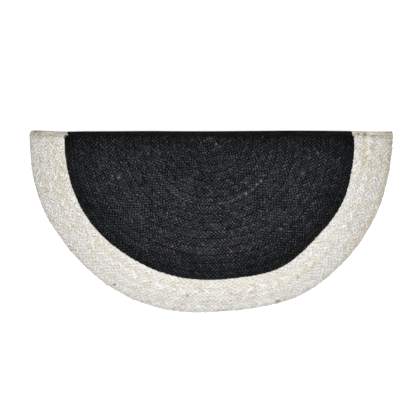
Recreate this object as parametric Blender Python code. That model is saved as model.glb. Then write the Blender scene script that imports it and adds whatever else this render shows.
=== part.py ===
"""Half-round doormat of braided jute: a black field, a cream border and a bound straight edge.

Rows of flat braid are wound in a coil and sewn edge to edge, and the coil is cut across half a row
above its centre. Strips of jute bind the cut. The mat lies flat: its underside is at z = 0, its
straight edge runs along X on the +Y side, and its round edge is towards -Y.

Shapes are worked out with the straight edge on y = 0 and the rim's centre on the origin. Directions
on the mat are degrees from +X round to -X by way of -Y. At the end the pieces are moved together,
so that the middle of the whole mat stands over the origin.
"""
import math
from collections import namedtuple

import bmesh
import bpy
import numpy as np

# Driving dimensions, in metres
RIM_RADIUS = 0.4490             # of the round edge, before its swells
FIELD_RADIUS = 0.3560           # of the black field, about its own centre
FIELD_CENTRE_INSET = 0.012      # of that centre from the straight edge
FIELD_CENTRE_SHIFT = -0.004     # of that centre from the middle, to the left
BRAID_HEIGHT = 0.009            # floor to the crown of a row
GROOVE_HEIGHT = 0.006           # floor to the sewn groove between two rows
BINDING_DEPTH = 0.010           # straight edge to the inner line of the binding
BINDING_HEIGHT = 0.0105
LEFT_JOIN_X = -0.353            # where the cream binding meets the black one, on the left
RIGHT_JOIN_X = 0.349            # and on the right
RIM_UNDERCUT = 0.0025           # how far the rounded rim draws in at the floor
SEAM_GAP = 0.0003               # between pieces that touch

FIELD_ROWS = 17
BORDER_ROWS = 4
ARC_STEPS = 48                  # sections round the mat, from one cut end to the other
STATIONS_ACROSS_A_ROW = (0.0, 0.14, 0.5, 0.86)

# The hand-sewn mat swells in places: the radius rises most in one direction and fades to both sides
Swell = namedtuple("Swell", "direction spread rise")
RIM_SWELLS = (
    Swell(direction=41, spread=27, rise=0.012),
    Swell(direction=61, spread=11, rise=0.006),
    Swell(direction=87, spread=15, rise=-0.0075),
    Swell(direction=118, spread=39, rise=0.009),
    Swell(direction=157, spread=11, rise=0.004),
)
FIELD_SWELLS = (
    Swell(direction=28, spread=17, rise=0.0125),
    Swell(direction=60, spread=15, rise=0.0135),
    Swell(direction=145, spread=26, rise=0.0065),
)

# Section of the rim below its last crown: share of the braid's height, and share of the undercut
RimPoint = namedtuple("RimPoint", "height drawn_in")
RIM_TURN = (
    RimPoint(height=0.55, drawn_in=0.0),
    RimPoint(height=0.20, drawn_in=0.3),
    RimPoint(height=0.00, drawn_in=1.0),
)

# The bound edge is nearly straight: it stands proud at the left corner and is a little hollow beside it
EdgeSwell = namedtuple("EdgeSwell", "at_x spread rise")
EDGE_SWELLS = (
    EdgeSwell(at_x=-0.440, spread=0.030, rise=0.0030),
    EdgeSwell(at_x=-0.300, spread=0.090, rise=-0.0014),
)

# Section of the binding: share of its depth from the inner line, and share of its height
BindingPoint = namedtuple("BindingPoint", "depth height")
BINDING_SECTION = (
    BindingPoint(0.00, 0.00),
    BindingPoint(0.00, 0.62),
    BindingPoint(0.12, 0.90),
    BindingPoint(0.40, 1.00),
    BindingPoint(0.70, 0.93),
    BindingPoint(0.92, 0.66),
    BindingPoint(1.00, 0.35),
    BindingPoint(0.97, 0.12),
    BindingPoint(0.88, 0.00),
)
BINDING_STEP = 0.030            # between its sections
BINDING_END_SIZE = 0.55         # of the first and last section, against a full one
BINDING_END_STATIONS = (0.0, 0.2, 0.55)     # shares of the rounded length that have a section
LEFT_CORNER_ROUND = 0.009       # length over which the left corner is rounded
BINDING_END_ROUND = 0.0035      # the same at every other end

# Sizes that follow from those above
CUT_Y = -BINDING_DEPTH - SEAM_GAP
ROW_SHARE = 1 / FIELD_ROWS
TOUCHING_SHARE = 0.5 * ROW_SHARE
# The crown of the first row just touches the cut, which sets how far in the coil's centre lies
COIL_CENTRE_INSET = (TOUCHING_SHARE * (FIELD_RADIUS - FIELD_CENTRE_INSET) - CUT_Y) / (1 - TOUCHING_SHARE)


def remove_everything():
    for item in list(bpy.data.objects):
        bpy.data.objects.remove(item, do_unlink=True)


def braid_material(name, colour, roughness):
    material = bpy.data.materials.new(name)
    material.use_nodes = True
    shader = material.node_tree.nodes["Principled BSDF"]
    shader.inputs["Base Color"].default_value = (*colour, 1.0)
    shader.inputs["Roughness"].default_value = roughness
    shader.inputs["Metallic"].default_value = 0.0
    material.diffuse_color = (*colour, 1.0)
    return material


def make_piece(name, faces, material):
    """A closed solid from its faces, each a list of points; points that coincide are made one."""
    points = [tuple(point) for face in faces for point in face]
    ends = np.cumsum([len(face) for face in faces])
    corners = [range(end - len(face), end) for face, end in zip(faces, ends)]
    mesh = bpy.data.meshes.new(name)
    mesh.from_pydata(points, [], corners)
    shape = bmesh.new()
    shape.from_mesh(mesh)
    bmesh.ops.remove_doubles(shape, verts=shape.verts, dist=1e-6)
    bmesh.ops.recalc_face_normals(shape, faces=shape.faces)
    shape.to_mesh(mesh)
    shape.free()
    mesh.shade_smooth()
    mesh.set_sharp_from_angle(angle=math.radians(40))
    mesh.materials.append(material)
    piece = bpy.data.objects.new(name, mesh)
    bpy.context.scene.collection.objects.link(piece)
    return piece


def faces_between(line, next_line):
    """Four-sided faces between two lines of equally many points."""
    return list(zip(line, line[1:], next_line[1:], next_line))


def rib_height(place_in_row):
    """Height of the mat's top at a place across one row: half an ellipse between two grooves."""
    from_crown = 2 * place_in_row - 1
    return GROOVE_HEIGHT + (BRAID_HEIGHT - GROOVE_HEIGHT) * math.sqrt(1 - from_crown ** 2)


def ring(centre_x, inset, radius, swells, swell_share):
    """Points of one ring of the coil, from the cut on the right round to the cut on the left.

    Each lies at the radius, with its swells, from the ring's own centre. The ring starts and ends
    on the cut; a ring too small to reach the cut is a full turn that starts and ends at its top.
    """
    past_level = math.asin(min(1.0, (inset + CUT_Y) / radius))
    angle = np.linspace(-past_level, math.pi + past_level, ARC_STEPS + 1)
    reach = np.full_like(angle, radius)
    for swell in swells:
        offset = (np.degrees(angle) - swell.direction) / swell.spread
        reach += swell_share * swell.rise * np.exp(-offset ** 2)
    x = centre_x + reach * np.cos(angle)
    y = -inset - reach * np.sin(angle)
    if past_level < math.pi / 2:
        y[[0, -1]] = CUT_Y
    return np.column_stack([x, y])


def field_ring(share, outward=0.0):
    """The ring at a share of the field's radius: 0 at the coil's centre, 1 at the border."""
    inset = COIL_CENTRE_INSET + (FIELD_CENTRE_INSET - COIL_CENTRE_INSET) * share
    radius = FIELD_RADIUS * share + outward
    return ring(FIELD_CENTRE_SHIFT * share, inset, radius, FIELD_SWELLS, share ** 2)


def rim_ring(inward=0.0):
    return ring(0.0, 0.0, RIM_RADIUS - inward, RIM_SWELLS, 1.0)


def at_height(points, height):
    return np.column_stack([points, np.full(len(points), height)])


def under(point):
    """The place on the floor under a point, or under each of a line of points."""
    return point * (1, 1, 0)


def field_top():
    """Rings of the ribbed top, from the coil's centre out to the border."""
    centre = np.tile([0.0, -COIL_CENTRE_INSET, GROOVE_HEIGHT], (ARC_STEPS + 1, 1))
    rings = [centre]
    for row in range(FIELD_ROWS):
        for place in STATIONS_ACROSS_A_ROW:
            if row + place > 0:
                rings.append(at_height(field_ring((row + place) * ROW_SHARE), rib_height(place)))
    rings.append(at_height(field_ring(1.0), GROOVE_HEIGHT))
    return rings


def make_field(material):
    """The ribbed half-round top, the walls at the border and along the cut, and the underside."""
    rings = field_top()
    faces = []
    for inner, outer in zip(rings, rings[1:]):
        faces += faces_between(inner, outer)
    faces += faces_between(rings[-1], under(rings[-1]))

    # Along the cut, each row's end is one face, down to the floor under its two grooves
    stations = len(STATIONS_ACROSS_A_ROW)
    for row in range(1, FIELD_ROWS):
        row_rings = rings[row * stations:(row + 1) * stations + 1]
        for cut_end in (0, -1):
            top = [points[cut_end] for points in row_rings]
            faces.append([*top, under(top[-1]), under(top[0])])

    # The first row is cut where its crown touches, so its two ends are one face
    crown_to_groove = rings[stations // 2:stations + 1]
    right_end = [points[0] for points in reversed(crown_to_groove)]
    left_end = [points[-1] for points in crown_to_groove[1:]]
    faces.append([*right_end, *left_end, under(left_end[-1]), under(right_end[0])])

    # The underside goes round the border and back along the cut, from groove to groove
    grooves = rings[stations:-1:stations]
    left_to_middle = [under(points[-1]) for points in reversed(grooves)]
    middle_to_right = [under(points[0]) for points in grooves]
    faces.append([*under(rings[-1]), *left_to_middle, *middle_to_right])
    return make_piece("field", faces, material)


def sweep(name, sections, material):
    """A solid from closed sections of equally many points, skinned in order, with flat ends."""
    faces = [sections[0], sections[-1]]
    for section, next_section in zip(sections, sections[1:]):
        faces += faces_between([*section, section[0]], [*next_section, next_section[0]])
    return make_piece(name, faces, material)


def make_border(material):
    """The ribbed half ring between the field and the rim, rounded over at the rim."""
    inner = field_ring(1.0, outward=SEAM_GAP)
    rim = rim_ring()
    lines = [at_height(inner, 0.0)]
    for row in range(BORDER_ROWS):
        for place in STATIONS_ACROSS_A_ROW:
            share = (row + place) / BORDER_ROWS
            lines.append(at_height(inner + (rim - inner) * share, rib_height(place)))
    for point in RIM_TURN:
        lines.append(at_height(rim_ring(inward=point.drawn_in * RIM_UNDERCUT), point.height * BRAID_HEIGHT))
    return sweep("border", list(np.stack(lines, axis=1)), material)


def edge_line(x):
    """How far the bound edge stands out from straight at x."""
    return sum(swell.rise * math.exp(-((x - swell.at_x) / swell.spread) ** 2) for swell in EDGE_SWELLS)


def make_binding(name, start, end, start_round, end_round, material):
    """One length of binding along the cut, its section drawn in at both ends as a sewn strip is."""
    inner_steps = max(2, round((end - start - start_round - end_round) / BINDING_STEP))
    middle = np.linspace(start + start_round, end - end_round, inner_steps + 1)
    rounding = np.array(BINDING_END_STATIONS)
    along = np.concatenate([start + start_round * rounding, middle, end - end_round * rounding[::-1]])
    sections = []
    for x in along:
        left_over = max(0.0, 1 - (x - start) / start_round, 1 - (end - x) / end_round)
        size = BINDING_END_SIZE + (1 - BINDING_END_SIZE) * math.sqrt(1 - left_over ** 2)
        depth = (BINDING_DEPTH + edge_line(x)) * size
        height = BINDING_HEIGHT * size
        sections.append([(x, -BINDING_DEPTH + point.depth * depth, point.height * height)
                         for point in BINDING_SECTION])
    return sweep(name, sections, material)


def stand_over_origin(pieces):
    """Move the pieces together, so that the middle of the mat is over the origin."""
    corners = np.array([vertex.co for piece in pieces for vertex in piece.data.vertices])
    middle = (corners.min(axis=0) + corners.max(axis=0)) / 2
    for piece in pieces:
        piece.location = (-middle[0], -middle[1], 0.0)


remove_everything()
black_jute = braid_material("black jute", (0.022, 0.022, 0.025), 0.85)
cream_jute = braid_material("cream jute", (0.72, 0.68, 0.59), 0.80)
black_strip = braid_material("black binding", (0.016, 0.015, 0.015), 0.80)
cream_strip = braid_material("cream binding", (0.66, 0.60, 0.50), 0.80)

rim_left, rim_right = rim_ring()[[-1, 0], 0]
mat_pieces = [
    make_field(black_jute),
    make_border(cream_jute),
    make_binding("edge_binding_left", rim_left, LEFT_JOIN_X - SEAM_GAP / 2,
                 LEFT_CORNER_ROUND, BINDING_END_ROUND, cream_strip),
    make_binding("edge_binding_middle", LEFT_JOIN_X + SEAM_GAP / 2, RIGHT_JOIN_X - SEAM_GAP / 2,
                 BINDING_END_ROUND, BINDING_END_ROUND, black_strip),
    make_binding("edge_binding_right", RIGHT_JOIN_X + SEAM_GAP / 2, rim_right,
                 BINDING_END_ROUND, BINDING_END_ROUND, cream_strip),
]
stand_over_origin(mat_pieces)
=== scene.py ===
import math
from collections import namedtuple
from math import pi, tau

import bpy
import numpy as np
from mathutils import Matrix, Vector


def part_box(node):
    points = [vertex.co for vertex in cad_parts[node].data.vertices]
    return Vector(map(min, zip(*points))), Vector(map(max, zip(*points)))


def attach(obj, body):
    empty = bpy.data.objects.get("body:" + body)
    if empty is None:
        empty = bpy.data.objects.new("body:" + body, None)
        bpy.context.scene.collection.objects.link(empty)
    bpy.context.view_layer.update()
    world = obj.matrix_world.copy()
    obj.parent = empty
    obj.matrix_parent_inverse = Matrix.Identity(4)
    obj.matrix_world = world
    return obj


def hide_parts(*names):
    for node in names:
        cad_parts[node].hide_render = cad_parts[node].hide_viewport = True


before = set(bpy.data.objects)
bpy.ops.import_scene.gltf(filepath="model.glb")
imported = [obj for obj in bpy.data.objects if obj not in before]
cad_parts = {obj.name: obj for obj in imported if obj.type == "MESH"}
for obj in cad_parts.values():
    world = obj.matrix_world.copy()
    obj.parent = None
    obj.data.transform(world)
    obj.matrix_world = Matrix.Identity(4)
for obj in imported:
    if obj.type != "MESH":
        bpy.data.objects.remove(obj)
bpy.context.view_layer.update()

# The black field. A flat plait of five strands of black-dyed jute is wound in a coil of 17 rows and
# sewn edge to edge. The coil is cut across just above its centre, and the cut ends of the rows are
# tucked into the binding.
FIELD_RADIUS = 0.356
FIELD_CENTRE_INSET = 0.012  # from the straight edge
FIELD_CENTRE_SHIFT = -0.004  # from the middle, to the left
FIELD_ROWS = 17
COIL_CENTRE_INSET = 0.021  # of its first turn
BRAID_HEIGHT = 0.009  # floor to the crown of a row
BINDING_DEPTH = 0.01  # straight edge to its inner line
LEFT_JOIN_X, RIGHT_JOIN_X = -0.353, 0.349  # where the cream bindings meet the black one
SEAM_GAP = 0.0003  # between pieces that touch
LOWEST = 0.0002  # of the strands above the floor
TUCK_Y = -0.006  # end of the rows inside the binding
PRESSED_FROM_Y, PRESSED_TO_Y = -0.019, -0.0105  # between these the rows thin down into the binding
PRESSED_SHARE = 0.38  # of their height that is left there
PRESSED_LIFT = 0.0016  # of their underside there, on the binding's lower layer
PRESSED_END_Y = -0.0044  # no part of them goes past this
LINE_POINTS = 1400  # along a row's edge
ROW_WANDER = 0.00162  # how far a sewn line strays to either side, at most
ROW_WANDER_LENGTH = 0.21  # from one such place to the next

# The coil is drawn with the straight edge on y = 0 and the rim's centre on the origin
binding_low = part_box("edge_binding_middle")[0]
COIL_ORIGIN = np.array([binding_low.x - LEFT_JOIN_X - SEAM_GAP / 2, binding_low.y + BINDING_DEPTH, 0.0])

# Where the radius rises and fades to both sides: direction in degrees from +X by way of -Y, spread, rise
FIELD_SWELLS = (
    (28, 17, 0.0125), (60, 15, 0.0135), (145, 26, 0.0065), (6, 8, 0.0018),
    (36, 14, -0.0011), (82, 18, -0.0021), (126, 14, -0.0024),
)

# A plait: how far a strand swings (a share of half the row) and rises, what share of its rise it loses
# where it sinks in, the length in which it comes back to its place, how sharply it turns at the edge,
# the share of its swing at which the outer edge is held, its width and thickness where it crosses
# another and where it turns, how round its section is, and its mesh's steps and sides
Plait = namedtuple(
    "Plait", "strands swing rise sink lay sharp held wide thick edge_wide edge_thick round steps sides")
FIELD_PLAIT = Plait(
    strands=5, swing=0.88, rise=0.0023, sink=1.0, lay=0.044, sharp=0.95, held=1.0, wide=0.0056,
    thick=0.0044, edge_wide=0.0054, edge_thick=0.0044, round=0.85, steps=40, sides=6)
FIELD_PIECES = (
    ("field_braid_inner", 0, 10, FIELD_PLAIT),
    ("field_braid_middle", 10, 14, FIELD_PLAIT),
    ("field_braid_outer", 14, 17, FIELD_PLAIT),
)
FIELD_SEED = 0

FIELD_STROKE_SPREAD = 0.12  # how unlike in tone its strokes are
STRAND_SPREAD = 0.04  # and its strands
STRAND_LENGTH = 1.25  # of a strand, for each metre of its row

# How unevenly it is pulled tight, as a share of its lay and over what length
SLOW_PULL, SLOW_PULL_LENGTH = 0.13, 0.19
QUICK_PULL, QUICK_PULL_LENGTH = 0.035, 0.031

# How unlike its strokes are
SWING_SPREAD, LIFT_SPREAD, WIDTH_SPREAD, THICKNESS_SPREAD = 0.1, 0.24, 0.17, 0.08

FIBRE_BUMPS = 0.035  # how uneven a strand's surface is from one place to the next
LUMP_LENGTH = 0.0055  # from one lump along a strand to the next
LUMPS = 0.085  # how uneven its girth is from lump to lump
RIDGES = 0.065  # how high its ridges stand, as a share of its girth
TWIST_LENGTH = 0.085  # in which they wind once round it

# How light the dyed jute looks from the coil's centre (0) to the border (1), and by its depth from
# the straight edge, towards which it is darker as painted shade
FIELD_TONE_AT = (0.0, 0.15, 0.3, 0.45, 0.6, 0.75, 0.88, 0.95, 1.0)
FIELD_TONE = (1.5, 1.1, 1.06, 1.18, 1.2, 1.22, 0.9, 0.63, 0.48)
EDGE_SHADE_AT = (0.005, 0.02, 0.04, 0.075, 0.11)
EDGE_SHADE = (0.4, 0.5, 0.7, 0.92, 1.0)

# Undyed specks, and painted highlights where strand crowns catch the light, in the field: x and y
# from the rim's centre and size, all in millimetres, and share
MILLIMETRES = 1000  # to a metre
TAN_FLECKS = (
    (-94.4, -284.4, 2.8, 0.75), (-30.1, -299.3, 2.2, 0.32), (50.2, -295.6, 2.8, 0.66),
    (5.7, -181.4, 2.2, 0.45), (20.5, -177.7, 2, 0.35), (-16.6, -181.4, 1.8, 0.25),
    (13.1, -238.7, 2.2, 0.35), (-61, -120.1, 2.2, 0.3), (-3.5, -14.6, 1.6, 0.32), (3.2, -14.6, 1.6, 0.32),
    (-14.1, -52.1, 2, 0.25), (-10.4, -59.6, 1.8, 0.2),
)
PALE_GLINTS = (
    (13.8, -32.4, 2.8, 0.55), (22.5, -38.6, 2.4, 0.42), (-8.5, -18.8, 2, 0.42), (-0.7, -18.8, 2, 0.42),
    (-15.3, -23.7, 2, 0.42), (-23.2, -28.2, 2, 0.35), (-57, -46.5, 2.6, 0.25), (37.8, -65.7, 2, 0.25),
    (52.6, -127.5, 2.6, 0.38), (87.2, -127.5, 2.2, 1.0), (45.2, -164.6, 2.6, 0.28),
    (-9.1, -139.9, 2.6, 0.32), (-1.7, -97.9, 2.4, 0.25), (32.9, -112.7, 2.2, 0.35),
    (32.9, -90.4, 2.2, 0.22), (87.2, -153.5, 3.4, 1.0), (72.4, -163.4, 3.2, 0.4), (55.1, -172, 3, 0.35),
    (102.1, -143.6, 3.4, 0.45), (114.4, -131.2, 3.2, 0.75), (124.3, -122.6, 3, 1.0),
    (131.7, -107.7, 2.8, 0.6), (-227.2, -114.5, 3.2, 0.65), (173.7, -241.2, 2.8, 0.48),
    (-19, -278.3, 2.8, 0.7), (-127.8, -149.8, 2.6, 0.75), (-122.8, -248.6, 2.4, 0.5),
    (226.9, -105.2, 2.8, 0.35), (245.4, -65.7, 2.6, 0.45), (-154.9, -55.8, 2.6, 0.45),
)

# Longer marks along the rows: directions from and to as for the swells, distances from the rim's
# centre there and width, all in millimetres, and share
MARK_FADING = 4  # degrees past its ends in which a mark fades out
TAN_MARKS = ((73, 90, 300, 299.5, 1.2, 0.1), (90, 108, 299.5, 299, 1.2, 0.14))
# The pale marks are painted highlights along the rows
PALE_MARKS = ((65.6, 78, 175.3, 180.9, 3, 0.22), (111.3, 125.2, 181.9, 174.3, 2.6, 0.15))


def swell_rise(swells, place):
    """What swells add at a place, for each its rise times exp(-((place - its own) / spread) squared)."""
    return sum(rise * np.exp(-((place - own) / spread) ** 2) for own, spread, rise in swells)


def level_angles(inset, radius):
    """Angles along a ring, from the rows' tucked ends on the right to those on the left."""
    past_level = math.asin(min(1.0, (inset + TUCK_Y) / radius))
    return np.linspace(-past_level, pi + past_level, LINE_POINTS)


def ring(centre_x, inset, reach, angle):
    """Points at a reach from a centre that lies inset from the straight edge."""
    return np.column_stack([centre_x + reach * np.cos(angle), -inset - reach * np.sin(angle)])


def field_inset(share):
    """A ring's centre moves evenly from the coil's own to the field's."""
    return COIL_CENTRE_INSET + (FIELD_CENTRE_INSET - COIL_CENTRE_INSET) * share


def field_line(share, angle, outward=0.0):
    """The ring at a share of the field's radius; its swells grow with the square of the share."""
    reach = FIELD_RADIUS * share + outward + share ** 2 * swell_rise(FIELD_SWELLS, np.degrees(angle))
    return ring(FIELD_CENTRE_SHIFT * share, field_inset(share), reach, angle)


def wander(along, wavelength, draw):
    """A smooth random line between about -1 and 1: the mean of three sines of unlike length."""
    lengths = wavelength * np.array([0.61, 1.0, 1.73])[:, None]
    phases = draw.uniform(0, tau, (3, 1))
    return np.sin(tau * along / lengths + phases).mean(axis=0)


def unit(vectors):
    return vectors / np.linalg.norm(vectors, axis=-1, keepdims=True)


def walked_along(line):
    """The length walked along a line to each of its points."""
    return np.concatenate([[0], np.cumsum(np.linalg.norm(np.diff(line, axis=0), axis=1))])


def points_at(lengths, walked, line):
    """The points of a line in plan at some lengths walked along it."""
    return np.column_stack([np.interp(lengths, walked, line[:, axis]) for axis in (0, 1)])


def strayed(line, walked, seed):
    """A sewn line that strays to both sides, along its own normal, by a wander of the length walked."""
    steps = np.gradient(line, axis=0)
    normal = unit(np.column_stack([steps[:, 1], -steps[:, 0]]))
    stray = ROW_WANDER * wander(walked, ROW_WANDER_LENGTH, np.random.default_rng(seed))
    return line + normal * stray[:, None]


def field_sewn_line(row, angle):
    """The line between row - 1 and row; the coil's first turn and its edge at the border stay put."""
    share = row / FIELD_ROWS
    line = field_line(share, angle)
    return strayed(line, FIELD_RADIUS * share * angle, row) if 2 <= row < FIELD_ROWS else line


def field_row_edges(row):
    middle_share = (row + 0.5) / FIELD_ROWS
    angle = level_angles(field_inset(middle_share), FIELD_RADIUS * middle_share)
    return field_sewn_line(row, angle), field_sewn_line(row + 1, angle)


def smooth_step(value, start, end):
    """0 before start, 1 after end, and 3 t squared - 2 t cubed between."""
    t = np.clip((value - start) / (end - start), 0, 1)
    return t * t * (3 - 2 * t)


def pressed_flat(points):
    """Points near the straight edge, thinned down onto the binding's lower layer and kept inside it."""
    pressed = smooth_step(points[..., 1], PRESSED_FROM_Y, PRESSED_TO_Y)
    thinned = points.copy()
    thinned[..., 1] = np.minimum(points[..., 1], PRESSED_END_Y)
    thinned[..., 2] = points[..., 2] * (1 - (1 - PRESSED_SHARE) * pressed) + PRESSED_LIFT * pressed
    return thinned


def signed_power(value, power):
    return np.sign(value) * np.abs(value) ** power


def joined_evenly(rows, centres, spread, draw):
    """For each row of places, a random number at each centre, and a straight line between two."""
    return np.stack([np.interp(row, centres, draw.normal(0, spread, len(centres))) for row in rows])


def stroke_values(turn, spread, draw):
    """A random number for each time that a strand shows on top, once each half turn."""
    centres = np.arange(math.floor(turn.min() / pi) - 1, turn.max() / pi + 2)
    return joined_evenly(turn, pi * (centres + 0.25), spread, draw)


def plait_row(inner, outer, plait, seed):
    """Strands plaited flat along a row, as grids of points: strand, place along it, place round it.

    At a turn t, a strand lies at swing times asin(sharp sin t) / asin(sharp) across the row, at most at
    held, and at rise times sin 2t to the power 0.6 above its middle: over two others, and under at the
    row's edge. It sinks in between those two by sink times (1 + cos of 2 strands t) / 2 of its rise. The
    strands follow each other at even turns. The section is a rounded oblong with a ridge at every second
    point, and it rolls over at each edge by 90 degrees times 1 - atan(7 cos t) / atan 7.
    """
    draw = np.random.default_rng(seed)
    middle = (inner + outer) / 2
    walked = walked_along(middle)
    count = round(walked[-1] / plait.lay * plait.steps) + 1
    along = np.linspace(0, walked[-1], count)
    across = points_at(along, walked, outer - inner)
    half_row = np.linalg.norm(across, axis=1) / 2
    size = half_row / np.median(half_row)
    across = np.column_stack([unit(across), np.zeros(count)])
    middle = np.column_stack([points_at(along, walked, middle), np.full(count, BRAID_HEIGHT / 2)])

    stray_turn = SLOW_PULL * wander(along, SLOW_PULL_LENGTH, draw)
    stray_turn = stray_turn + QUICK_PULL * wander(along, QUICK_PULL_LENGTH, draw)
    turn = tau * (along / plait.lay + stray_turn) + draw.uniform(0, tau)
    turn = turn + tau / plait.strands * np.arange(plait.strands)[:, None]
    at_edge = np.sin(turn) ** 4
    zigzag = np.minimum(np.arcsin(plait.sharp * np.sin(turn)) / math.asin(plait.sharp), plait.held)
    swing = zigzag * half_row * plait.swing * (1 + stroke_values(turn, SWING_SPREAD, draw) * (1 - at_edge))
    over = signed_power(np.sin(2 * turn), 0.6)
    over = over * (1 - plait.sink * (1 + np.cos(2 * plait.strands * turn)) / 2)
    path = middle + across * swing[..., None]
    path[..., 2] += over * plait.rise * (1 + stroke_values(turn, LIFT_SPREAD, draw))

    forward = unit(np.gradient(path, axis=1))
    side = unit(across - forward * (across * forward).sum(axis=-1, keepdims=True))
    up = np.cross(forward, side)
    roll = (pi / 2 * (1 - np.arctan(7 * np.cos(turn)) / math.atan(7)))[..., None]
    width_way = side * np.cos(roll) - up * np.sin(roll)
    face_way = up * np.cos(roll) + side * np.sin(roll)

    wide = plait.wide + (plait.edge_wide - plait.wide) * at_edge
    wide = wide * size * (1 + stroke_values(turn, WIDTH_SPREAD, draw))
    thick = plait.thick + (plait.edge_thick - plait.thick) * at_edge
    thick = thick * (1 + stroke_values(turn, THICKNESS_SPREAD, draw))
    lumps = np.arange(0, along[-1] + LUMP_LENGTH, LUMP_LENGTH)
    girth = 1 + joined_evenly([along] * plait.strands, lumps, LUMPS, draw)
    round_it = tau * np.arange(plait.sides) / plait.sides
    twist = tau * along / TWIST_LENGTH + draw.uniform(0, tau, (plait.strands, 1))
    ridges = girth[..., None] + RIDGES * np.cos(plait.sides // 2 * round_it + twist[..., None])
    ridges = ridges + draw.normal(0, FIBRE_BUMPS, ridges.shape)
    flat_round = signed_power(np.cos(round_it), plait.round)
    deep_round = signed_power(np.sin(round_it), plait.round)
    points = (path[:, :, None]
              + width_way[:, :, None] * (wide[..., None] / 2 * flat_round * ridges)[..., None]
              + face_way[:, :, None] * (thick[..., None] / 2 * deep_round * ridges)[..., None])
    points[..., 2] = np.maximum(points[..., 2], LOWEST)
    return along, turn, points, draw


def tube_faces(first, stations, sides):
    """Corners of the four-sided faces round a tube, and of its two end caps, all facing out."""
    station = np.arange(stations - 1)[:, None] * sides + first
    place = np.arange(sides)
    after = (place + 1) % sides
    quads = np.stack([station + place, station + after, station + sides + after, station + sides + place], -1)
    return quads.reshape(-1, 4), [first + place[::-1], first + (stations - 1) * sides + place]


def linked(name, data):
    made = bpy.data.objects.new(name, data)
    bpy.context.scene.collection.objects.link(made)
    return made


def make_mesh(name, points, quads, many_sided, maps, numbers, material):
    """A smooth mesh object from its points, four-sided faces and end caps.

    Its maps have a row for each corner, in the same order, and its numbers a value for each point.
    """
    corners = np.concatenate([quads.ravel(), *many_sided])
    sizes = np.concatenate([np.full(len(quads), 4), [len(face) for face in many_sided]]).astype(int)
    mesh = bpy.data.meshes.new(name)
    mesh.vertices.add(len(points))
    mesh.vertices.foreach_set("co", points.astype(np.float32).ravel())
    mesh.loops.add(len(corners))
    mesh.loops.foreach_set("vertex_index", corners.astype(np.int32))
    mesh.polygons.add(len(sizes))
    mesh.polygons.foreach_set("loop_start", (np.cumsum(sizes) - sizes).astype(np.int32))
    for map_name, places in maps.items():
        layer = mesh.uv_layers.new(name=map_name, do_init=False)
        layer.uv.foreach_set("vector", places.astype(np.float32).ravel())
    for number_name, values in numbers.items():
        attribute = mesh.attributes.new(number_name, "FLOAT", "POINT")
        attribute.data.foreach_set("value", values.astype(np.float32).ravel())
    mesh.update(calc_edges=True)
    mesh.shade_smooth()
    mesh.materials.append(material)
    return linked(name, mesh)


# A tube: the length along it at each station, its points (station, place round it), and the numbers
# that its material reads at each point
Tube = namedtuple("Tube", "along grid numbers")
FIBRE_START = 40  # the most metres along at which a tube's fibres start

# The map for baking: its columns to the widest tube, its square to them all, and where the caps lie
BAKE_PITCH, BAKE_MARGIN, CAP_PLACE = 1.02, 1.002, 0.9995


def tube_piece(name, tubes, material):
    """One mesh of many closed tubes.

    The map named fibre runs in metres, along the tube from a start of its own, and round it. The
    map for baking lays all tubes side by side in a square, in columns as long as the square.
    """
    points, quads, caps, fibre, strips = [], [], [], [], []
    draw = np.random.default_rng(len(tubes))
    first, run = 0, 0.0
    for tube in tubes:
        stations, sides = tube.grid.shape[:2]
        faces, ends = tube_faces(first, stations, sides)
        points.append(tube.grid.reshape(-1, 3))
        quads.append(faces)
        caps += ends

        around = np.linalg.norm(tube.grid - np.roll(tube.grid, -1, axis=1), axis=-1).mean(axis=0)
        place = np.concatenate([[0], np.cumsum(around)])
        every = np.stack(np.meshgrid(tube.along, place, indexing="ij"), -1)
        corners = [every[:-1, :-1], every[:-1, 1:], every[1:, 1:], every[1:, :-1]]
        corners = np.stack(corners, 2).reshape(-1, 4, 2)
        fibre.append(corners + (draw.uniform(0, FIBRE_START), 0))
        strips.append(corners + (run, 0))
        run += tube.along[-1]
        first += stations * sides

    strips = np.concatenate(strips)
    strip_width = strips[..., 1].max() * BAKE_PITCH
    column_length = math.sqrt(run * strip_width)
    column = np.floor(strips[:, :1, 0] / column_length)
    laid_out = np.stack([strips[..., 1] + column * strip_width, strips[..., 0] - column * column_length], -1)
    laid_out /= laid_out.max() * BAKE_MARGIN
    cap_corners = sum(len(cap) for cap in caps)
    maps = {
        "fibre": np.concatenate([np.concatenate(fibre).reshape(-1, 2), np.zeros((cap_corners, 2))]),
        "OFBake": np.concatenate([laid_out.reshape(-1, 2), np.full((cap_corners, 2), CAP_PLACE)]),
    }
    numbers = {key: np.concatenate([tube.numbers[key].ravel() for tube in tubes])
               for key in tubes[0].numbers}
    return make_mesh(name, np.concatenate(points), np.concatenate(quads), caps, maps, numbers, material)


def direction_of(points):
    """Degrees from +X round to -X by way of -Y, about the rim's centre."""
    return np.degrees(np.arctan2(-points[..., 1], points[..., 0]))


def near_any(points, flecks):
    """A fleck's share on its centre, falling off as exp(-(distance / size) squared), the highest of all."""
    across, depth = points[..., 0] * MILLIMETRES, points[..., 1] * MILLIMETRES
    return np.max([share * np.exp(-(np.hypot(across - x, depth - y) / size) ** 2)
                   for x, y, size, share in flecks], axis=0)


def on_any(points, marks):
    """A mark's share along its middle, falling off as exp(-(distance / width) squared) to both sides
    and in the same way past its ends, the highest of all."""
    reach = np.hypot(points[..., 0], points[..., 1]) * MILLIMETRES
    direction = direction_of(points)
    found = np.zeros(points.shape[:-1])
    for start, end, start_reach, end_reach, width, share in marks:
        middle = np.interp(direction, (start, end), (start_reach, end_reach))
        past_end = np.maximum(np.maximum(start - direction, direction - end), 0)
        fading = np.exp(-((reach - middle) / width) ** 2 - (past_end / MARK_FADING) ** 2)
        found = np.maximum(found, share * fading)
    return found


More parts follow.
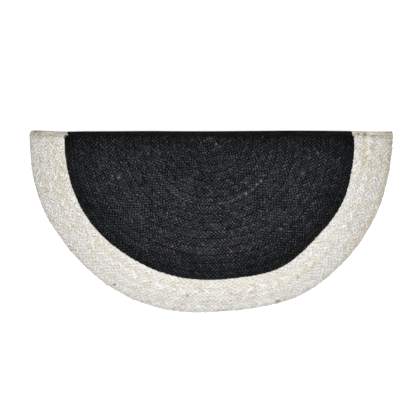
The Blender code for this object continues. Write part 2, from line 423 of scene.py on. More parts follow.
class Look:
    """A material's node tree, with short ways to add nodes and to join them."""

    def __init__(self, name, slant=0.0):
        self.slant = slant
        self.material = bpy.data.materials.new(name)
        self.material.use_nodes = True
        self.tree = self.material.node_tree
        self.shader = self.tree.nodes["Principled BSDF"]

    def fill(self, node, inputs):
        """Each input is joined to another node's output, or given a value of its own."""
        for key, value in inputs.items():
            socket = node.inputs[key]
            if isinstance(value, bpy.types.NodeSocket):
                self.tree.links.new(value, socket)
            else:
                socket.default_value = (*value, 1.0) if socket.type == "RGBA" else value

    def added(self, kind, output, inputs=None, **settings):
        node = self.tree.nodes.new("ShaderNode" + kind)
        for key, value in settings.items():
            setattr(node, key, value)
        self.fill(node, inputs or {})
        return node.outputs[output]

    def number(self, name):
        return self.added("Attribute", "Fac", attribute_name=name)

    def places(self):
        return self.added("TexCoord", "Object")

    def fibre_map(self, scale):
        """Metres along the strand and round it, turned by the fibres' slant, times a scale."""
        fibre = self.added("UVMap", "UV", uv_map="fibre")
        if self.slant:
            fibre = self.added("Mapping", "Vector", {"Vector": fibre, "Rotation": (0, 0, self.slant)})
        return self.added("Mapping", "Vector", {"Vector": fibre, "Scale": scale})

    def noise(self, vector, scale, detail=2.0, roughness=0.5):
        inputs = {"Vector": vector, "Scale": scale, "Detail": detail, "Roughness": roughness}
        return self.added("TexNoise", "Fac", inputs)

    def streaks(self, along, across, detail=1, roughness=0.5):
        """Noise drawn out along the strand: so many cells to a metre along it and round it."""
        return self.noise(self.fibre_map((along, across, 1)), 1.0, detail, roughness)

    def ramp(self, value, low, high, to_low=0.0, to_high=1.0):
        inputs = {"Value": value, "From Min": low, "From Max": high, "To Min": to_low, "To Max": to_high}
        return self.added("MapRange", "Result", inputs)

    def times(self, first, second):
        return self.added("Math", 0, {0: first, 1: second}, operation="MULTIPLY")

    def plus(self, first, second):
        return self.added("Math", 0, {0: first, 1: second}, operation="ADD")

    def mix(self, share, first, second):
        inputs = {"Factor": share, "A": first, "B": second}
        return self.added("Mix", "Result", inputs, data_type="RGBA")

    def brightened(self, colour, amount):
        return self.added("VectorMath", "Vector", {0: colour, "Scale": amount}, operation="SCALE")

    def finish(self, colour, roughness, height, depth, gloss, sheen=0.0, sheen_tint=(1, 1, 1)):
        bump = self.added("Bump", "Normal", {"Distance": depth, "Height": height})
        self.fill(self.shader, {
            "Normal": bump, "Base Color": colour, "Roughness": roughness, "Specular IOR Level": gloss,
            "Sheen Weight": sheen, "Sheen Roughness": 0.45, "Sheen Tint": sheen_tint,
        })
        return self.material


def black_braid_look():
    """Charcoal jute: fine fibres in short tufts, worn grey on the crowns and lighter there as painted
    highlight, and darker in the valleys as painted shade.
    """
    look = Look("black jute braid")
    fibres = look.streaks(70, 2600, 3, 0.6)
    locks = look.streaks(80, 460)
    tufts = look.streaks(420, 500)
    olive = look.streaks(45, 160)
    patches = look.noise(look.places(), 26)
    # Lighter on the crowns, partly from wear and partly as painted highlight, and darker in the valleys as
    # painted shade
    wear_and_highlight = look.times(look.ramp(look.number("crown"), 0.35, 1.0), look.ramp(fibres, 0.35, 0.75))
    wear_and_highlight = look.times(wear_and_highlight, look.ramp(patches, 0.3, 0.7, 0.94, 1.07))
    wear_and_highlight = look.times(wear_and_highlight, look.ramp(tufts, 0.4, 0.66, 0.1, 2.7))
    colour = look.mix(look.ramp(locks, 0.35, 0.65), (0.0034, 0.0038, 0.0058), (0.0128, 0.0137, 0.0176))
    greyed = look.mix(look.ramp(olive, 0.56, 0.7), (0.115, 0.12, 0.129), (0.132, 0.132, 0.11))
    colour = look.mix(wear_and_highlight, colour, greyed)
    colour = look.brightened(colour, look.number("tone"))
    undyed = look.times(look.number("fleck"), look.ramp(tufts, 0.35, 0.6))
    colour = look.mix(undyed, colour, (0.43, 0.345, 0.205))
    # Painted highlights where strand crowns catch the light
    glint = look.times(look.number("glint"), look.ramp(tufts, 0.3, 0.52, 0.25, 1.0))
    colour = look.mix(glint, colour, (0.29, 0.3, 0.32))
    roughness = look.ramp(fibres, 0.2, 0.8, 0.85, 0.65)
    return look.finish(colour, roughness, look.plus(look.times(fibres, 0.5), locks), 0.0007, 0.04)


def braid_pieces(pieces, row_edges, first_seed, stroke_spread, marked, material):
    """Pieces of braid: all strands of their rows, with the numbers that the material reads."""
    braids = []
    for name, first_row, end_row, plait in pieces:
        tubes = []
        for row in range(first_row, end_row):
            along, turn, grid, draw = plait_row(*row_edges(row), plait, first_seed + row)
            uneven = 1 + draw.normal(0, STRAND_SPREAD, (plait.strands, 1))
            uneven = uneven + stroke_values(turn, stroke_spread, draw)
            numbers = marked(grid)
            numbers["tone"] = numbers["tone"] * uneven[..., None]
            # How high each point stands in its row, which the looks use for painted highlight on the black
            # crowns and painted shade in the valleys
            numbers["crown"] = np.abs(2 * grid[..., 2] / BRAID_HEIGHT - 1)
            placed = pressed_flat(grid) + COIL_ORIGIN
            for strand in range(plait.strands):
                own = {key: values[strand] for key, values in numbers.items()}
                tubes.append(Tube(along * STRAND_LENGTH, placed[strand], own))
        braids.append(tube_piece(name, tubes, material))
    return braids


def field_marked(grid):
    """How light each point is, by its distances to the field's centre and the edge, and its marks."""
    distance = np.hypot(grid[..., 0] - FIELD_CENTRE_SHIFT, grid[..., 1] + FIELD_CENTRE_INSET)
    by_ring = np.interp(distance / FIELD_RADIUS, FIELD_TONE_AT, FIELD_TONE)
    return {
        # darker towards the straight edge as painted shade
        "tone": by_ring * np.interp(-grid[..., 1], EDGE_SHADE_AT, EDGE_SHADE),
        "fleck": np.maximum(near_any(grid, TAN_FLECKS), on_any(grid, TAN_MARKS)),
        "glint": np.maximum(near_any(grid, PALE_GLINTS), on_any(grid, PALE_MARKS)),
    }


field_braids = braid_pieces(FIELD_PIECES, field_row_edges, FIELD_SEED, FIELD_STROKE_SPREAD, field_marked,
                            black_braid_look())
for piece in field_braids:
    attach(piece, "root")
    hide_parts("field")


# The matted middle of the black rows: the short fibres and sewing thread that fill the rows from
# inside and show only in the gaps between strands. It is the field's own thin body, with the rows
# as its pile, and it is laid flat.
CORE_HALF_AT_LINE = 0.0019  # half its thickness under a sewn line
CORE_HALF_AT_MIDDLE = 0.0012  # and inside a row
CORE_STEPS, CORE_STATIONS = 4, 170  # across a row, and along it
CORE_INNER_SHARE = 0.012  # where it starts, beside the coil's centre


def core_tube(lines):
    """A closed thin body through lines that lie side by side, as one tube along them.

    Between two sewn lines it thins from one half thickness to the other and back, as a cosine.
    """
    even = []
    for line in lines:
        walked = walked_along(line)
        even.append(points_at(np.linspace(0, 1, CORE_STATIONS) * walked[-1], walked, line))
    even = np.array(even)
    place = np.arange((len(lines) - 1) * CORE_STEPS, -1, -1) / CORE_STEPS
    row = np.minimum(place.astype(int), len(lines) - 2)
    share = place - row
    plan = even[row] + (even[row + 1] - even[row]) * share[:, None, None]
    plan = plan.transpose(1, 0, 2)
    half = (1 + np.cos(tau * share)) / 2
    half = CORE_HALF_AT_MIDDLE + (CORE_HALF_AT_LINE - CORE_HALF_AT_MIDDLE) * half
    faces = []
    for height in (BRAID_HEIGHT / 2 + half, BRAID_HEIGHT / 2 - half):
        level = np.broadcast_to(height[:, None], (*plan.shape[:2], 1))
        faces.append(np.concatenate([plan, level], axis=-1))
    grid = pressed_flat(np.concatenate([faces[0], faces[1][:, ::-1]], axis=1))
    return Tube(walked_along(plan[:, 0]), grid + COIL_ORIGIN, {})


def core_look(name, dark, light):
    """Matted fibre ends: short streaks of two close colours, without any lie of their own."""
    look = Look(name)
    matted = look.noise(look.places(), 900, 3, 0.65)
    clumps = look.noise(look.places(), 160)
    colour = look.mix(look.ramp(matted, 0.35, 0.65), dark, light)
    colour = look.brightened(colour, look.ramp(clumps, 0.3, 0.7, 0.8, 1.15))
    roughness = look.ramp(matted, 0.2, 0.8, 0.95, 0.8)
    return look.finish(colour, roughness, look.plus(matted, clumps), 0.0008, 0.03)


def field_core_line(row):
    share = max(row / FIELD_ROWS, CORE_INNER_SHARE)
    angle = level_angles(field_inset(share), FIELD_RADIUS * share)
    return field_sewn_line(row, angle) if row else field_line(share, angle)


core_lines = [field_core_line(row) for row in range(FIELD_ROWS + 1)]
field_core = tube_piece("field_core", [core_tube(core_lines)],
                        core_look("matted black jute", (0.0015, 0.0015, 0.002), (0.006, 0.006, 0.007)))
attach(field_core, "root")
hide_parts("field")


# The cream border. Four rows of a thicker plait of bleached jute, sewn round the field in the same
# way and cut on the same line. Its outermost row is the mat's round edge.
RIM_RADIUS = 0.449
BORDER_ROWS = 4
RIM_SWELLS = (
    (41, 27, 0.012), (61, 11, 0.006), (87, 15, -0.0075), (118, 39, 0.009),
    (157, 11, 0.004), (175, 7, -0.0012),
)
INNER_BORDER_PLAIT = Plait(
    strands=5, swing=0.87, rise=0.0013, sink=0.9, lay=0.065, sharp=0.9, held=1.0, wide=0.0082,
    thick=0.0052, edge_wide=0.0062, edge_thick=0.0052, round=0.78, steps=40, sides=8)
OUTER_BORDER_PLAIT = INNER_BORDER_PLAIT._replace(lay=0.057, wide=0.0077)
RIM_PLAIT = OUTER_BORDER_PLAIT._replace(held=0.78)
BORDER_PIECES = (
    ("border_braid_inner", 0, 2, INNER_BORDER_PLAIT),
    ("border_braid_outer", 2, 3, OUTER_BORDER_PLAIT),
    ("border_braid_rim", 3, 4, RIM_PLAIT),
)
BORDER_SEED = 100
BORDER_STROKE_SPREAD = 0.014
BORDER_WALK = 1.25  # along its middle, on which its sewn lines stray

# How light the bleached jute looks in rings from the field's edge (0) to the rim (1), darker at the rim's
# rounded outer side as painted shade
BORDER_TONE_AT = (0.0, 0.08, 0.2, 0.31, 0.39, 0.47, 0.59, 0.68, 0.8, 0.91, 0.98)
BORDER_TONE = (1.13, 1.08, 1.06, 1.01, 1.045, 0.93, 0.985, 0.885, 0.92, 0.84, 0.66)

# How far its light and dark tufts are apart (0 to 1), by direction: most near both ends, where the stronger
# contrast is painted light and shade of the strokes
BORDER_GRAIN_AND_SHADING_AT = (20, 65, 115, 160)
BORDER_GRAIN_AND_SHADING = (1.0, 0.0, 0.0, 1.0)

# Tan and brown stains along its rows, and small dark specks, one of them painted shade in a gap under the
# left binding
TAN_STAINS = (
    (0, 2, 440, 442, 7, 0.7), (2, 12, 380, 383, 4.5, 0.5), (5, 8, 442.5, 444.5, 3, 0.8),
    (4, 40, 442, 451, 5.5, 0.36), (0, 12, 405, 415, 30, 0.13), (57, 63, 412.3, 412, 6, 0.26),
    (64, 78, 380, 376, 6, 0.18), (77, 90, 395, 392, 6, 0.12), (95, 97, 374.5, 374.5, 6, 0.34),
    (97, 102, 383.5, 384, 5, 0.26), (114, 134, 387, 389, 5.5, 0.26), (141, 165, 400, 395.5, 6, 0.2),
    (161, 171, 377, 374, 6, 0.24), (165, 180, 393, 393, 6, 0.3), (165, 180, 410, 410, 30, 0.08),
)
DARK_SPECKS = (
    (-237.7, -378.3, 3.2, 1.0), (-57.5, -405.6, 3, 0.85), (50.5, -400.5, 2.8, 0.65),
    (101, -396.5, 2.4, 0.45), (164, -420, 3.4, 1.0), (169, -418.1, 3, 0.95), (215, -359, 3.2, 0.8),
    (-361.8, -78.1, 2.4, 0.55), (-381.3, -105.3, 2.4, 0.5), (-407, -149.8, 2.2, 0.45),
    # The speck at -361.3, -13.3 is painted shade in a gap under the left binding
    (241, -344, 2.2, 0.45), (-361.3, -13.3, 3, 0.9), (-361.3, -78.8, 2.2, 0.5), (446.8, -29.9, 2.4, 0.7),
    (382.5, -66, 2.2, 0.7), (418.9, -60, 2, 0.45),
)


def border_line(share):
    """The line at a share of the way from the field's edge (0) to the rim (1)."""
    field_angle = level_angles(FIELD_CENTRE_INSET, FIELD_RADIUS)
    rim_angle = level_angles(0.0, RIM_RADIUS)
    inner = field_line(1.0, field_angle, outward=SEAM_GAP)
    rim = ring(0.0, 0.0, RIM_RADIUS + swell_rise(RIM_SWELLS, np.degrees(rim_angle)), rim_angle)
    return inner + (rim - inner) * share


def border_sewn_line(row):
    """The line between row - 1 and row; the edges at the field and at the rim stay put."""
    line = border_line(row / BORDER_ROWS)
    walked = np.linspace(0, BORDER_WALK, len(line))
    return strayed(line, walked, BORDER_SEED + row) if 0 < row < BORDER_ROWS else line


def border_row_edges(row):
    return border_sewn_line(row), border_sewn_line(row + 1)


def cream_braid_look():
    """Bleached jute: cream and grey-white fibres in short tufts, tan ones among them, and stains, with
    painted shade in the valleys.
    """
    look = Look("cream jute braid")
    places = look.places()
    fibres = look.streaks(60, 2200, 3, 0.6)
    locks = look.streaks(160, 420, 2)
    tufts = look.streaks(400, 440, roughness=0.6)
    bark = look.streaks(300, 380)
    tan_locks = look.streaks(72, 195)
    tan_spots = look.noise(places, 125)
    patches = look.noise(places, 34, 3, 0.6)
    greys = look.noise(places, 21, 3, 0.6)
    # The tufts' light and dark are the jute's own; their stronger contrast near both ends is painted light
    # and shade of the strokes
    grain = look.number("grain")
    light = look.ramp(locks, 0.35, 0.65, look.ramp(grain, 0, 1, 0.25, 0.0),
                      look.ramp(grain, 0, 1, 0.75, 1.0))
    colour = look.mix(light, (0.625, 0.621, 0.604), (0.765, 0.761, 0.741))
    bright = look.ramp(tufts, 0.33, 0.6, look.ramp(grain, 0, 1, 0.79, 0.4),
                       look.ramp(grain, 0, 1, 1.05, 1.27))
    colour = look.brightened(colour, bright)
    colour = look.brightened(colour, look.ramp(greys, 0.3, 0.7, 0.984, 1.015))
    tan = look.ramp(look.plus(tan_locks, tan_spots), 0.9, 1.26)
    tan = look.times(tan, look.ramp(patches, 0.38, 0.7, 0.18, 0.95))
    colour = look.mix(tan, colour, (0.505, 0.437, 0.285))
    stained = look.times(look.number("stain"), look.ramp(tan_locks, 0.35, 0.6, 0.35, 1.3))
    colour = look.mix(stained, colour, (0.52, 0.405, 0.2))
    # Painted shade in the valleys between strands
    valley_shade = look.ramp(look.number("crown"), 0.75, 0.2, 0.0, 0.16)
    colour = look.mix(valley_shade, colour, (0.42, 0.4, 0.36))
    colour = look.mix(look.ramp(bark, 0.66, 0.72, 0.0, 0.75), colour, (0.36, 0.28, 0.18))
    # Dark specks, one of them painted shade
    colour = look.mix(look.number("speck"), colour, (0.16, 0.11, 0.07))
    colour = look.brightened(colour, look.number("tone"))
    height = look.plus(look.times(fibres, 0.5), locks)
    roughness = look.ramp(fibres, 0.2, 0.8, 0.85, 0.65)
    return look.finish(colour, roughness, height, 0.0003, 0.04, 0.04, (1.0, 0.98, 0.94))


def border_marked(grid):
    """How light each point is, from its share of the way to the rim, its grain and painted shading, and the
    marks on it.
    """
    direction = direction_of(grid)
    inner, rim = (np.interp(direction, direction_of(line), np.hypot(line[:, 0], line[:, 1]))
                  for line in (border_line(0.0), border_line(1.0)))
    share = (np.hypot(grid[..., 0], grid[..., 1]) - inner) / (rim - inner)
    return {
        # darker towards the rim's rounded outer side as painted shade
        "tone": np.interp(share, BORDER_TONE_AT, BORDER_TONE),
        "grain": np.interp(direction, BORDER_GRAIN_AND_SHADING_AT, BORDER_GRAIN_AND_SHADING),
        "stain": on_any(grid, TAN_STAINS),
        "speck": near_any(grid, DARK_SPECKS),
    }


border_braids = braid_pieces(BORDER_PIECES, border_row_edges, BORDER_SEED, BORDER_STROKE_SPREAD,
                             border_marked, cream_braid_look())
for piece in border_braids:
    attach(piece, "root")
    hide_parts("border")


# The matted middle of the cream rows, made as the field's is. Its outer edge stays inside the
# strands of the last row.
CORE_RIM_SHARE = 0.96

core_lines = [*map(border_sewn_line, range(BORDER_ROWS)), border_line(CORE_RIM_SHARE)]
border_core = tube_piece("border_core", [core_tube(core_lines)],
                         core_look("matted cream jute", (0.46, 0.42, 0.35), (0.62, 0.58, 0.5)))
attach(border_core, "root")
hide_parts("border")


# The binding of the straight edge: three strips of combed jute, folded over the cut ends of the rows
# from above to below. The cream ones at both ends meet the black one at a slant. The left one is
# narrow at its corner and widens towards the field.
BINDING_HEIGHT = 0.0105
BINDING_WALL = 0.0014  # thickness of the folded strip
BINDING_STEP = 0.002  # between its sections
CORNER_SIZE = 0.55  # of the section at a rounded corner, against a full one
LEFT_CORNER_ROUND, RIGHT_CORNER_ROUND = 0.009, 0.0035  # lengths over which the corners are rounded
LEFT_CORNER_INSET = 0.003  # of the left strip's end from the rim
JOIN_SLANT = -0.34  # how far a join leans, for each metre towards the edge

# The strip's section, as shares of its depth from the inner line and of its height
CREST_DEPTH = 0.42  # where it is highest
INNER_HEIGHT = 0.62  # at the inner line
OUTER_HEIGHT = 0.35  # where it stands out furthest
SOLE_DEPTH = 0.86  # where its underside starts

STITCH_PITCH = 0.0162  # from one stitch to the next, at least
STITCH_START, STITCH_END = 0.008, 0.006  # first and last one from the strip's ends
STITCH_FREE = 0.012  # of a strip's length, where none is counted
STITCH_STRAY = 0.0012  # how far a stitch lies from its even place, at most
PUCKER = 0.14  # how much lower the strip is under a stitch, at its inner line
PUCKER_SPREAD = 0.0032  # how far that reaches along the strip
PUCKER_DEPTH = 0.45  # and in from the inner line, as a share of its depth
LEAN_LENGTH = 0.012  # over which a slanted end leans
COMBED_SLANT = math.radians(14)  # of its fibres to its length

# Two combed waves: their height and their lengths across and along the strip. The first one strays.
COMBED_WAVES = ((0.00022, 0.0037, 0.021), (0.00016, 0.0061, 0.034))
COMBED_STRAY_LENGTH = 0.06
COMBED_SEED = 10

EDGE_FULLNESS = 0.0006  # how far the strip stands out over the whole edge
EDGE_SWELLS = (
    (-0.43, 0.03, 0.0018), (-0.355, 0.035, -0.0009), (-0.15, 0.06, 0.0006),
    (0.21, 0.135, 0.0015), (0.405, 0.048, -0.0012),
)

# Where a strip's inner line runs: places along the edge, and its depth from it there
LEFT_LINE = ((-0.45, -0.425, -0.4, -0.384, -0.352), (0.008, 0.0085, 0.01, 0.0108, 0.0096))
MIDDLE_LINE = ((-0.35, -0.2, -0.05, 0.02, 0.2, 0.35), (0.0104, 0.0096, 0.0106, 0.0112, 0.0098, 0.0104))
RIGHT_LINE = ((0.349, 0.356, 0.4, 0.45), (0.0125, 0.0102, 0.0098, 0.0096))

# An end with no rounding is cut square, where it meets the next strip
Strip = namedtuple("Strip", "name start end start_round end_round start_slant end_slant inner_line slot seed")
rim_left, rim_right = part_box("border")
left_end = rim_left.x - COIL_ORIGIN[0] + LEFT_CORNER_INSET
right_end = rim_right.x - COIL_ORIGIN[0]
STRIPS = (
    Strip("binding_left", left_end, LEFT_JOIN_X - SEAM_GAP / 2, LEFT_CORNER_ROUND, 0,
          0, JOIN_SLANT, LEFT_LINE, "cream_jute_binding", 1),
    Strip("binding_middle", LEFT_JOIN_X + SEAM_GAP / 2, RIGHT_JOIN_X - SEAM_GAP / 2, 0, 0,
          JOIN_SLANT, JOIN_SLANT, MIDDLE_LINE, "black_jute_binding", 2),
    Strip("binding_right", RIGHT_JOIN_X + SEAM_GAP / 2, right_end, 0, RIGHT_CORNER_ROUND,
          JOIN_SLANT, 0, RIGHT_LINE, "cream_jute_binding", 3),
)

# Dark spots where the stitches pull the strips in, as painted shade, and brown places on the strips
STRIP_SPECKS = (
    (364.5, -8, 3, 0.95), (380.5, -8, 3.6, 1.0), (435, -1, 4, 0.45), (445, -2, 3, 0.45),
    (-433, -0.5, 6, 0.45), (-423, -3, 5, 0.35), (-398, -9, 3, 0.35),
)

# How light the strips look along the edge
STRIP_TONE_AT = (-0.45, -0.43, -0.35, 0.34, 0.36, 0.4, 0.45)
STRIP_TONE = (1.12, 1.03, 1.0, 1.0, 1.22, 1.17, 1.13)


def folded_section():
    """Depth and height shares of the strip's outer face, from the inner line below to that above.

    Straight along the floor, a quarter circle under the edge, a quarter superellipse over it up to
    the crest, and down to the inner line as the crest's height less a power of the distance.
    """
    floor_part = np.linspace(0, SOLE_DEPTH, 6)[:-1]
    under = np.linspace(-pi / 2, 0, 5)[:-1]
    over = np.linspace(0, pi / 2, 9)[:-1]
    slope = np.linspace(1, 0, 8)
    depth = np.concatenate([
        floor_part,
        SOLE_DEPTH + (1 - SOLE_DEPTH) * np.cos(under),
        CREST_DEPTH + (1 - CREST_DEPTH) * np.cos(over) ** 0.85,
        CREST_DEPTH * slope,
    ])
    height = np.concatenate([
        np.zeros(len(floor_part)),
        OUTER_HEIGHT * (1 + np.sin(under)),
        OUTER_HEIGHT + (1 - OUTER_HEIGHT) * np.sin(over) ** 0.85,
        1 - (1 - INNER_HEIGHT) * (1 - slope) ** 2.2,
    ])
    return depth, height


def stitch_places(strip):
    """Where a strip is sewn down: at even steps, each moved a little along."""
    count = max(2, int((strip.end - strip.start - STITCH_FREE) / STITCH_PITCH) + 1)
    stray = np.random.default_rng(strip.seed).uniform(-STITCH_STRAY, STITCH_STRAY, count)
    return np.linspace(strip.start + STITCH_START, strip.end - STITCH_END, count) + stray


def corner_size(from_end, rounding):
    """How large the section is near an end: up from its size at a corner along a quarter circle."""
    if rounding == 0:
        return np.ones(len(from_end))
    share = np.clip(1 - from_end / rounding, 0, 1)
    return CORNER_SIZE + (1 - CORNER_SIZE) * np.sqrt(1 - share ** 2)


def strip_sections(strip, x):
    """Outer face of a strip at places x: its section grown or drawn in, puckered and combed.

    It is lower under each stitch by a bell curve, and its face rises and dips by two slanted waves.
    """
    depth_share, height_share = folded_section()
    size = corner_size(x - strip.start, strip.start_round) * corner_size(strip.end - x, strip.end_round)
    inner = np.interp(x, *strip.inner_line)
    fullness = EDGE_FULLNESS + swell_rise(EDGE_SWELLS, x)
    depth = ((inner + fullness) * size)[:, None] * depth_share
    under_stitch = np.exp(-((x[:, None] - stitch_places(strip)) / PUCKER_SPREAD) ** 2).sum(axis=1)
    near_line = np.exp(-(depth_share / PUCKER_DEPTH) ** 2) * (height_share > OUTER_HEIGHT)
    pucker = 1 - PUCKER * under_stitch[:, None] * near_line
    height = BINDING_HEIGHT * size[:, None] * height_share * pucker

    section = np.stack([depth - inner[:, None], height], axis=-1)
    tangent = np.gradient(section, axis=1)
    outward = unit(np.stack([tangent[..., 1], -tangent[..., 0]], axis=-1))
    developed = np.cumsum(np.linalg.norm(tangent, axis=-1), axis=1)
    draw = np.random.default_rng(COMBED_SEED + strip.seed)
    strays = (wander(x, COMBED_STRAY_LENGTH, draw)[:, None], 0.0)
    wave = sum(high * np.cos(tau * (developed / across + x[:, None] / along + stray))
               for (high, across, along), stray in zip(COMBED_WAVES, strays))
    combed = wave * (height_share > 0.05) * smooth_step(depth_share, 1.0, 0.8) * size[:, None]
    section = section + outward * combed[..., None]
    section[..., 1] = np.maximum(section[..., 1], 0.0)
    inside = section - outward * BINDING_WALL * size[:, None, None]
    return section, inside, depth_share


def leaned(points, strip):
    """Points of a strip, with both ends leaned over by their slant, which fades from the end on."""
    x, y = points[..., 0], points[..., 1]
    at_start = np.exp(-(x - strip.start) / LEAN_LENGTH) * strip.start_slant
    at_end = np.exp(-(strip.end - x) / LEAN_LENGTH) * strip.end_slant
    moved = points.copy()
    moved[..., 0] += (at_start + at_end) * (y + BINDING_DEPTH / 2)
    return moved


def strip_tube(strip):
    """The strip as one closed tube along the edge: its outer face, and back along its inner one."""
    count = round((strip.end - strip.start) / BINDING_STEP)
    even = np.linspace(0, 1, count)
    x = strip.start + (strip.end - strip.start) * (even - 0.25 / count * np.sin(tau * even))
    outside, inside, depth_share = strip_sections(strip, x)
    section = np.concatenate([outside, inside[:, ::-1]], axis=1)
    across = np.broadcast_to(x[:, None, None], (*section.shape[:2], 1))
    grid = leaned(np.concatenate([across, section], axis=-1), strip)
    outer = np.concatenate([depth_share, depth_share[::-1]])
    numbers = {
        "outer": np.broadcast_to(outer, section.shape[:2]),
        "speck": near_any(grid, STRIP_SPECKS),
        "tone": np.interp(grid[..., 0], STRIP_TONE_AT, STRIP_TONE),
    }
    return Tube(x - x[0], grid + COIL_ORIGIN, numbers)


def binding_look(name, dark, light, streak, rim, rim_shade_share):
    """Combed jute: fibres at a shallow slant to the strip, with streaks of a second colour, and painted shade
    on its outer side.
    """
    look = Look(name, COMBED_SLANT)
    fibres = look.streaks(70, 2400, 3, 0.6)
    locks = look.streaks(38, 430, 2)
    streaks = look.streaks(22, 230)
    tufts = look.streaks(170, 380)
    colour = look.mix(look.ramp(locks, 0.36, 0.64), dark, light)
    colour = look.mix(look.ramp(streaks, 0.52, 0.7, 0.0, 0.75), colour, streak)
    colour = look.brightened(colour, look.ramp(tufts, 0.35, 0.65, 0.78, 1.22))
    colour = look.brightened(colour, look.ramp(fibres, 0.25, 0.75, 0.75, 1.15))
    # Painted shade on the strip's outer side
    rim_shade = look.ramp(look.number("outer"), 0.72, 0.98, 0.0, rim_shade_share)
    colour = look.brightened(look.mix(rim_shade, colour, rim), look.number("tone"))
    # Brown places, and dark spots of painted shade by the stitches
    colour = look.mix(look.number("speck"), colour, (0.045, 0.035, 0.022))
    roughness = look.ramp(fibres, 0.2, 0.8, 0.9, 0.7)
    return look.finish(colour, roughness, look.plus(look.times(fibres, 0.5), locks), 0.0009, 0.05)


# rim is the colour of the painted shade on each strip's outer side
binding_looks = {
    "cream_jute_binding": binding_look(
        "combed cream jute", dark=(0.33, 0.305, 0.245), light=(0.6, 0.575, 0.495),
        streak=(0.3, 0.255, 0.165), rim=(0.28, 0.245, 0.16), rim_shade_share=0.8),
    "black_jute_binding": binding_look(
        "combed black jute", dark=(0.0022, 0.0022, 0.0023), light=(0.008, 0.0078, 0.0076),
        streak=(0.015, 0.0135, 0.011), rim=(0.001, 0.001, 0.001), rim_shade_share=0.95),
}
for strip in STRIPS:
    piece = tube_piece(strip.name, [strip_tube(strip)], binding_looks[strip.slot])
    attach(piece, "root")
    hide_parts("edge_" + strip.name)


# The stitches of the binding: whip stitches of waxed thread, each from the strip's face over its
# inner line and down between the strands of the rows.
THREAD = 0.0011  # its diameter
STITCH_RUN = 0.0034  # from the inner line to where it goes in, on both sides
STITCH_LEAN = 0.0016  # how far it leans along the edge
THREAD_SUNK = 0.0012  # of its ends below the inner line's height
THREAD_RISE = 0.0022  # of its arch above them
THREAD_START_LIFT = 0.0018  # how much higher it starts, on the strip's face
STITCH_STATIONS, STITCH_SIDES = 9, 8


def stitch_tube(strip, x):
    """A thread over the inner line, with both ends sunk in: its rise times a half sine to the power
    0.7, and its lift at the start times the square of what is left of it."""
    share = np.linspace(0, 1, STITCH_STATIONS)
    inner = np.interp(x, *strip.inner_line)
    y = -inner + STITCH_RUN * (1 - 2 * share)
    low = BINDING_HEIGHT * INNER_HEIGHT * (1 - PUCKER)
    arch = THREAD_RISE * np.sin(pi * share) ** 0.7
    z = low - THREAD_SUNK + arch + THREAD_START_LIFT * (1 - share) ** 2
    path = np.column_stack([x + STITCH_LEAN * (share - 0.5), y, z])
    forward = unit(np.gradient(path, axis=0))
    sideways = unit(np.cross(forward, (0.0, 0.0, 1.0)))
    downward = np.cross(forward, sideways)
    around = tau * np.arange(STITCH_SIDES) / STITCH_SIDES
    rounding = sideways[:, None] * np.cos(around)[:, None] + downward[:, None] * np.sin(around)[:, None]
    grid = path[:, None] + THREAD / 2 * rounding
    return Tube(walked_along(path), grid + COIL_ORIGIN, {})


def thread_look(name, dark, light):
    """Two-ply thread: light plies with dark lines of painted shade between them, wound round it at a slant.
    """
    look = Look(name)
    inputs = {"Vector": look.fibre_map((900, 900, 1)), "Scale": 1.0, "Distortion": 0.8}
    plies = look.added("TexWave", "Fac", inputs, wave_type="BANDS", bands_direction="DIAGONAL")
    colour = look.mix(look.ramp(plies, 0.1, 0.7), dark, light)
    return look.finish(colour, look.ramp(plies, 0, 1, 0.8, 0.55), plies, 0.0003, 0.1)


thread_looks = {
    "cream_jute_binding": thread_look("cream thread", (0.34, 0.3, 0.22), (0.66, 0.62, 0.52)),
    "black_jute_binding": thread_look("black thread", (0.006, 0.006, 0.006), (0.03, 0.03, 0.032)),
}
for strip in STRIPS:
    threads = [stitch_tube(strip, x) for x in stitch_places(strip)]
    piece = tube_piece(strip.name.replace("binding", "stitches"), threads, thread_looks[strip.slot])
    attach(piece, "root")


# The camera looks straight down on the mat, as in the photograph, through a long lens
CAMERA_LENS = 135.0
SENSOR = 36.0
METRES_PER_PIXEL = 0.9 / 364.2
FRAME_PIXELS = 420
RIM_CENTRE_PIXEL = (210.7, 131.4)

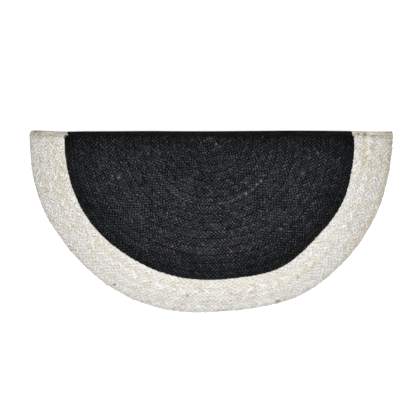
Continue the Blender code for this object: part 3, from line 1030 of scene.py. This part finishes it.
frame_width = FRAME_PIXELS * METRES_PER_PIXEL
camera_x = COIL_ORIGIN[0] + (FRAME_PIXELS / 2 - RIM_CENTRE_PIXEL[0]) * METRES_PER_PIXEL
camera_y = COIL_ORIGIN[1] - (FRAME_PIXELS / 2 - RIM_CENTRE_PIXEL[1]) * METRES_PER_PIXEL
camera_data = bpy.data.cameras.new("camera")
camera_data.lens = CAMERA_LENS
camera_data.sensor_width = SENSOR
camera = linked("camera", camera_data)
camera.location = (camera_x, camera_y, frame_width * CAMERA_LENS / SENSOR + BRAID_HEIGHT / 2)
scene = bpy.context.scene
scene.camera = camera


# A plain white floor under the mat, a white surround that lights it from all sides, and one large
# soft light from above the round edge
FLOOR_SIZE = 14
FLOOR_HEIGHT = -0.0003
FLOOR_WHITE = (0.97, 0.97, 0.97)
FLOOR_GLOW = 0.4  # its own light, so that it shows plain white
SURROUND_STRENGTH = 0.84
KEY_PLACE = Vector((-0.03, -0.8, 1.28))
KEY_AIM = Vector((0.0, -0.05, 0.0))
KEY_SIZE = 1.1
KEY_WATTS = 14.0

bpy.ops.mesh.primitive_plane_add(size=FLOOR_SIZE, location=(0, 0, FLOOR_HEIGHT))
floor = bpy.context.object
floor.name = "floor"
floor_look = Look("floor")
floor_look.fill(floor_look.shader, {
    "Base Color": FLOOR_WHITE, "Roughness": 0.9,
    "Emission Color": FLOOR_WHITE, "Emission Strength": FLOOR_GLOW,
})
floor.data.materials.append(floor_look.material)

world = bpy.data.worlds.new("studio")
world.use_nodes = True
surround = world.node_tree.nodes["Background"]
surround.inputs["Color"].default_value = (1, 1, 1, 1)
surround.inputs["Strength"].default_value = SURROUND_STRENGTH
scene.world = world
scene.view_settings.view_transform = "Standard"

key_light = bpy.data.lights.new("key", "AREA")
key_light.shape = "SQUARE"
key_light.size = KEY_SIZE
key_light.energy = KEY_WATTS
key = linked("key", key_light)
key.location = KEY_PLACE
key.rotation_euler = (KEY_AIM - KEY_PLACE).to_track_quat("-Z", "Y").to_euler()
